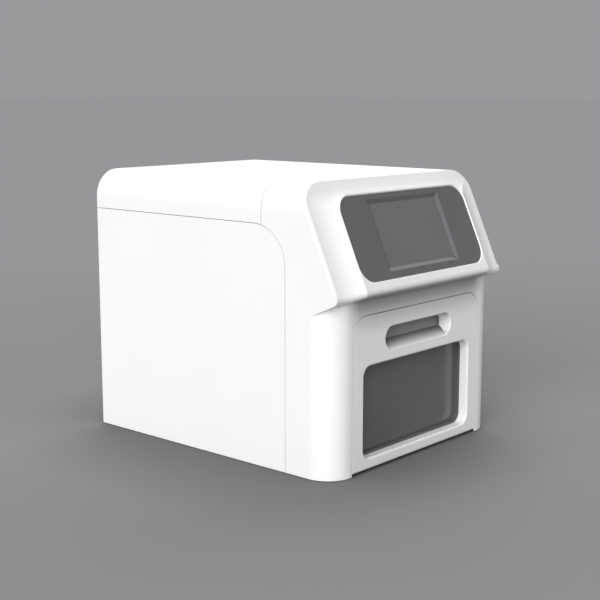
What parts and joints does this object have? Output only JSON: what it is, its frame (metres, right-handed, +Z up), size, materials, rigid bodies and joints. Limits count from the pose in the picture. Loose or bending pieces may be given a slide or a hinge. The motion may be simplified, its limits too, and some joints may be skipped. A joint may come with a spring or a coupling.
{
  "type": "nucleic acid extractor",
  "caption": "Bench extractor case with a sloped touch display, drop-down windowed door, sliding plate tray and magnetic rod lift.",
  "frame": {"origin": "centre of the footprint, on the bench under the feet", "axes": "+Z up, -Y to the front with the display and door, +X to the right seen from the front"},
  "size_m": [0.39, 0.49, 0.4],
  "materials": {
    "white_shell": "fine satin moulded",
    "inner_white": "satin",
    "dark_glass": "smooth semi-gloss",
    "screen_glass": "smooth",
    "smoked_window": "smoked clear",
    "black_plastic": "satin",
    "black_rubber": "matte",
    "sheet_steel": "powder coat",
    "zinc_steel": "zinc plated",
    "aluminium": "anodised",
    "dark_aluminium": "anodised",
    "ground_steel": "ground",
    "brass": "machined",
    "lamp_glass": "clear quartz",
    "motor_black": "satin",
    "board_green": "solder mask",
    "nickel": "nickel plated",
    "rocker_red": "gloss",
    "port_metal": "tin plated"
  },
  "bodies": {
    "case": {"front_fascia": "white_shell", "top_cover": "white_shell", "side_panel_left": "white_shell", "side_panel_right": "white_shell", "rear_panel": "sheet_steel", "base_plate": "zinc_steel", "rubber_feet": "black_rubber", "case_screws": "zinc_steel", "display_panel": "dark_glass", "touch_screen": "screen_glass", "lcd_module": "zinc_steel", "display_bracket": "zinc_steel", "hinge_blocks": "dark_aluminium", "hinge_pins": "ground_steel", "chamber_front": "sheet_steel", "catch_plates": "zinc_steel", "chamber_wall_left": "sheet_steel", "chamber_wall_right": "sheet_steel", "chamber_hood": "sheet_steel", "uv_lamp": "lamp_glass", "lamp_holders": "inner_white", "light_strip": "inner_white", "tray_rails": "ground_steel", "tray_motor": "motor_black", "lift_backplate": "aluminium", "lift_rails": "ground_steel", "lift_motor": "motor_black", "motor_shelf": "aluminium", "power_supply": "zinc_steel", "control_board": "board_green", "board_spacers": "brass", "fan_frame": "black_plastic", "fan_guard": "zinc_steel", "power_inlet": "black_plastic", "data_ports": "port_metal"},
    "door": {"door_shell": "white_shell", "door_liner": "inner_white", "door_window": "smoked_window", "window_gasket": "black_rubber", "door_seal": "black_rubber", "door_magnets": "nickel"},
    "tray": {"tray_runners": "zinc_steel", "plate_tray": "aluminium", "heater_blocks": "dark_aluminium", "tray_nut": "brass"},
    "tray_drive": {"tray_screw": "ground_steel"},
    "lift_head": {"lift_runners": "zinc_steel", "head_frame": "aluminium", "lift_nut": "brass", "rod_guides": "ground_steel", "rod_motor": "motor_black"},
    "lift_drive": {"lift_screw": "ground_steel"},
    "rod_carriage": {"rod_plate": "aluminium", "magnet_rods": "nickel", "rod_nut": "brass"},
    "rod_drive": {"rod_screw": "ground_steel"},
    "fan": {"fan_rotor": "black_plastic"},
    "fuse": {"fuse_drawer": "black_plastic"},
    "rocker": {"power_switch": "rocker_red"}
  },
  "joints": [
    {"name": "door_hinge", "type": "hinge", "parent": "case", "child": "door", "pos_m": [0, -0.215, 0.013], "axis": [1, 0, 0], "range_deg": [0, 90]},
    {"name": "tray_slide", "type": "slide", "parent": "case", "child": "tray", "axis": [0, -1, 0], "range_m": [0, 0.045]},
    {"name": "tray_screw_spin", "type": "hinge", "parent": "case", "child": "tray_drive", "pos_m": [0, 0, 0.027], "axis": [0, 1, 0], "range_deg": [-2160, 2160]},
    {"name": "head_lift", "type": "slide", "parent": "case", "child": "lift_head", "axis": [0, 0, -1], "range_m": [0, 0.055]},
    {"name": "lift_screw_spin", "type": "hinge", "parent": "case", "child": "lift_drive", "pos_m": [0, -0.032, 0.29], "axis": [0, 0, 1], "range_deg": [-2880, 2880]},
    {"name": "rod_lift", "type": "slide", "parent": "lift_head", "child": "rod_carriage", "axis": [0, 0, -1], "range_m": [0, 0.058]},
    {"name": "rod_screw_spin", "type": "hinge", "parent": "lift_head", "child": "rod_drive", "pos_m": [0, -0.066, 0.23], "axis": [0, 0, 1], "range_deg": [-2880, 2880]},
    {"name": "fan_spin", "type": "hinge", "parent": "case", "child": "fan", "pos_m": [0.095, 0.23, 0.3], "axis": [0, 1, 0], "continuous": true},
    {"name": "fuse_slide", "type": "slide", "parent": "case", "child": "fuse", "axis": [0, 1, 0], "range_m": [0, 0.012]},
    {"name": "rocker_tilt", "type": "hinge", "parent": "case", "child": "rocker", "pos_m": [-0.13, 0.2336, 0.095], "axis": [1, 0, 0], "range_deg": [-20, 0]}
  ],
  "couplings": [
    {"joint": "tray_screw_spin", "follows": "tray_slide", "rad_per_m": 785.4},
    {"joint": "lift_screw_spin", "follows": "head_lift", "rad_per_m": 785.4},
    {"joint": "rod_screw_spin", "follows": "rod_lift", "rad_per_m": 785.4}
  ]
}
